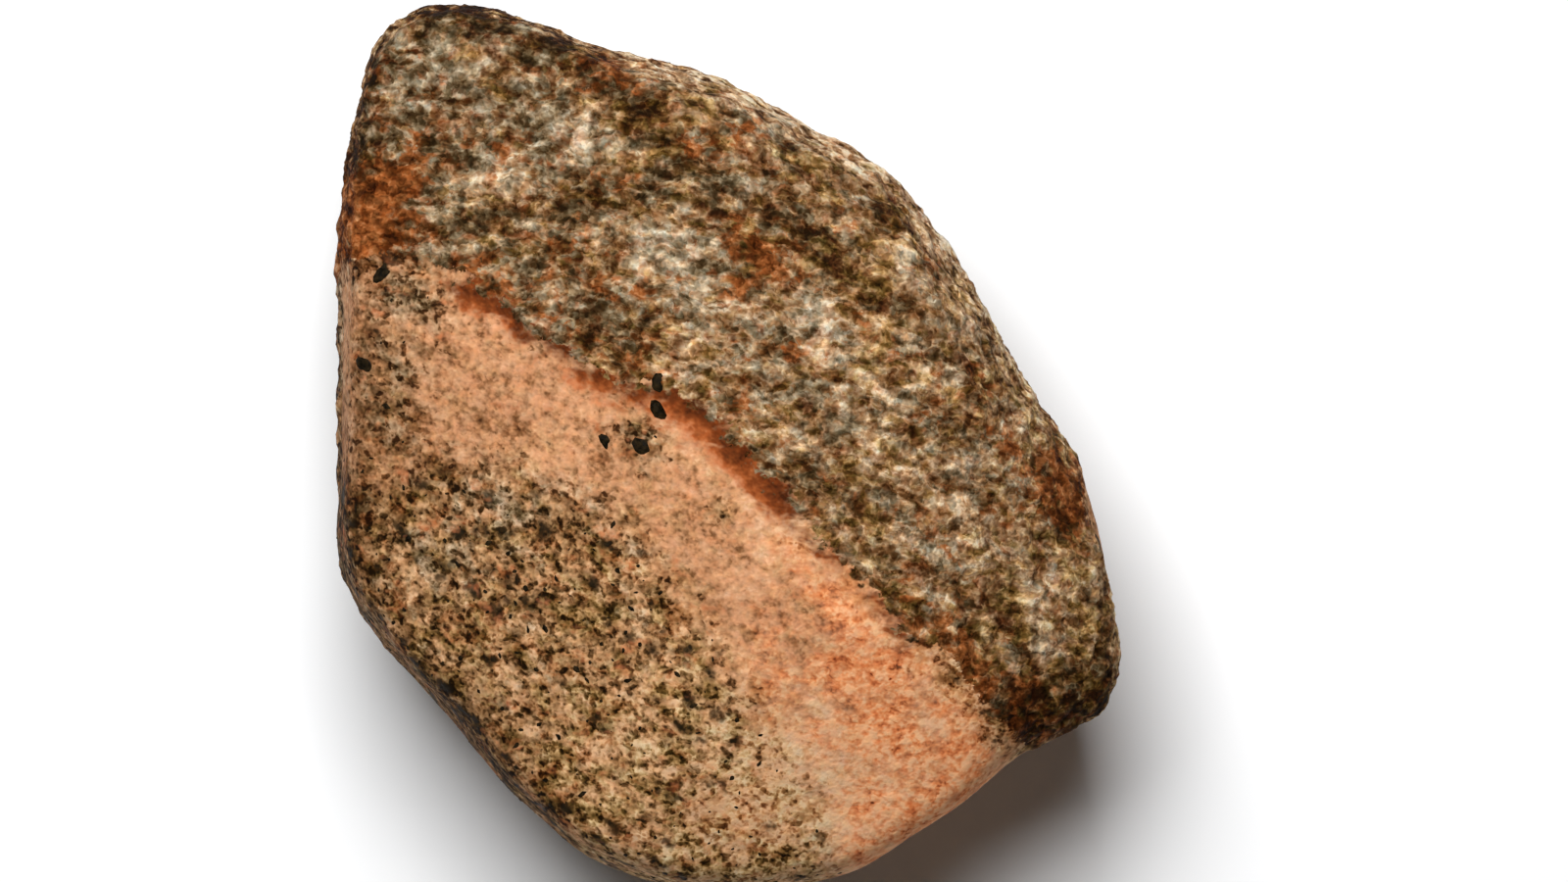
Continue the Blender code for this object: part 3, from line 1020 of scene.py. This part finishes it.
def crystal_tree(material):
    """Geometry nodes that set large crystals at marked points, and scatter small ones."""
    start, size = new_tree("crystals", CRYSTALS)

    def random(low, high, seed):
        sockets = {2: low, 3: high, 8: seed}
        return start.node("FunctionNodeRandomValue", {"data_type": "FLOAT"}, sockets, 1)

    # Where they sit
    normal = start.node("GeometryNodeInputNormal")
    bed = size["Geometry"].keep("outward", "FLOAT_VECTOR", normal)
    crowding = start.read("speckle").rise(0.2, 1.0) * start.read("ragged").rise(0.8, 2.5)
    gap = size["Least Gap"] * MM
    sockets = {"Mesh": bed, "Distance Min": gap, "Density Factor": crowding, "Seed": SCATTER_SEED}
    sockets["Density Max"] = size["Crowding"] / MM**2
    settings = {"distribute_method": "POISSON"}
    points = start.node("GeometryNodeDistributePointsOnFaces", settings, sockets)
    sockets = {"Mesh": bed, "Selection": start.read("crystal")}
    named = start.node("GeometryNodeMeshToPoints", None, sockets)
    small = random(0.0, 1.0, 1)
    small = size["Smallest"] + small * small * (size["Largest"] - size["Smallest"])
    across = start.read("crystal").at_least(small) * MM
    outward = start.read("outward", "FLOAT_VECTOR")
    sunk = outward.vector("SCALE", across * size["Sunk Share"] * -1.0, "Scale")

    # Their shape, simpler for the small ones
    upright = start.node("FunctionNodeAlignRotationToVector", {"axis": "Z"}, {"Vector": outward})
    spin = {0: random(*TILTS, 2), 2: random(*SPINS, 3)}
    spin = start.node("ShaderNodeCombineXYZ", None, spin)
    turned = {"Rotation": upright, "Rotate By": spin}
    turned = start.node("FunctionNodeRotateRotation", {"rotation_space": "LOCAL"}, turned)
    sides = {0: random(*LENGTHS, 4), 1: random(*WIDTHS, 6), 2: random(*HEIGHTS, 7)}
    sides = start.node("ShaderNodeCombineXYZ", None, sides).vector("SCALE", across, "Scale")
    both = start.node("GeometryNodeJoinGeometry")
    for middles, divisions in ((points, 1), (named, 2)):
        set_in = start.node("GeometryNodeSetPosition", None, {"Geometry": middles, "Offset": sunk})
        sockets = {"Radius": 1.0, "Subdivisions": divisions}
        grain = start.node("GeometryNodeMeshIcoSphere", None, sockets)
        sockets = {"Points": set_in, "Instance": grain, "Rotation": turned, "Scale": sides}
        kind = start.node("GeometryNodeInstanceOnPoints", None, sockets)
        start.tree.links.new(kind.socket, both.socket.node.inputs[0])
    grown = start.node("GeometryNodeRealizeInstances", None, {0: both})
    places = start.node("GeometryNodeInputPosition").vector("SCALE", 1.0 / MM, "Scale")
    worn = places.noise(1.1, 2.0, output="Color").vector("SUBTRACT", (0.5, 0.5, 0.5))
    wear = start.read("crystal").at_least(0.6) * size["Wear"] * 2.0 * MM
    worn = worn.vector("SCALE", wear, "Scale")
    grown = start.node("GeometryNodeSetPosition", None, {"Geometry": grown, "Offset": worn})
    return finished_tree(grown, material)


def grown_crystals(rock):
    """The mesh of all crystals, set on a copy of the roughened stone."""
    bed = rock.data.copy()
    points = point_places(bed)
    sizes = np.zeros(len(points))
    for x, y, across in LARGE_CRYSTALS:
        apart = np.hypot(points[:, 0] - x, points[:, 1] - y)
        apart = apart + FAR_AWAY * (points[:, 2] < UPPER_SIDE)
        sizes[apart.argmin()] = across
    keep_values(bed, "crystal", sizes)
    return shaped_by(crystal_tree(crystal_material()), CRYSTALS, bed)


crystals = placed("black_crystals", grown_crystals(stone))
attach(crystals, "root")


# The table, the light and the camera: a pale floor, a soft lamp at the upper left, and a long lens
# that looks straight down on a place a little to the right of the stone's own middle.
FLOOR_SIDE = 12.0
VIEW_WIDTH = 1600 / 6
VIEW_MIDDLE = (9.75, 1.0, 42.0)
CAMERA_HEIGHT = 3000.0
SENSOR = 36.0
FLOOR_COLOUR = (0.93, 0.94, 0.95, 1.0)
FLOOR_ROUGHNESS = 0.9
LAMP_PLACE = (-0.15, 0.54, 1.29)
LAMP_WIDTH = 0.72
LAMP_POWER = 26.5
ROOM_COLOUR = (1.0, 1.0, 1.0, 1.0)
ROOM_LIGHT = 0.04

floor = placed("floor", bpy.data.meshes.new("floor"))
side = FLOOR_SIDE / 2
corners = [(-side, -side, 0.0), (side, -side, 0.0), (side, side, 0.0), (-side, side, 0.0)]
floor.data.from_pydata(corners, [], [(0, 1, 2, 3)])
paint = bpy.data.materials.new("pale_floor")
paint.use_nodes = True
matt = paint.node_tree.nodes["Principled BSDF"]
matt.inputs["Base Color"].default_value = FLOOR_COLOUR
matt.inputs["Roughness"].default_value = FLOOR_ROUGHNESS
floor.data.materials.append(paint)


def soft_light(name, place, width, power):
    """A square soft box that points at the stone and doesn't show in the picture."""
    data = bpy.data.lights.new(name, "AREA")
    data.shape = "SQUARE"
    data.size = width
    data.energy = power
    lamp = placed(name, data)
    lamp.location = place
    aim = lamp.location.copy()
    lamp.rotation_euler = aim.to_track_quat("Z", "Y").to_euler()
    lamp.visible_camera = False


soft_light("key_light", LAMP_PLACE, LAMP_WIDTH, LAMP_POWER)
world = bpy.data.worlds.new("room")
world.use_nodes = True
background = world.node_tree.nodes["Background"]
background.inputs["Color"].default_value = ROOM_COLOUR
background.inputs["Strength"].default_value = ROOM_LIGHT
bpy.context.scene.world = world
bpy.context.scene.view_settings.view_transform = "Standard"

camera = placed("camera", bpy.data.cameras.new("camera"))
camera.data.sensor_width = SENSOR
camera.data.lens = SENSOR * CAMERA_HEIGHT / VIEW_WIDTH
view_x, view_y, view_z = VIEW_MIDDLE
camera.location = (view_x * MM, view_y * MM, (view_z + CAMERA_HEIGHT) * MM)
bpy.context.scene.camera = camera
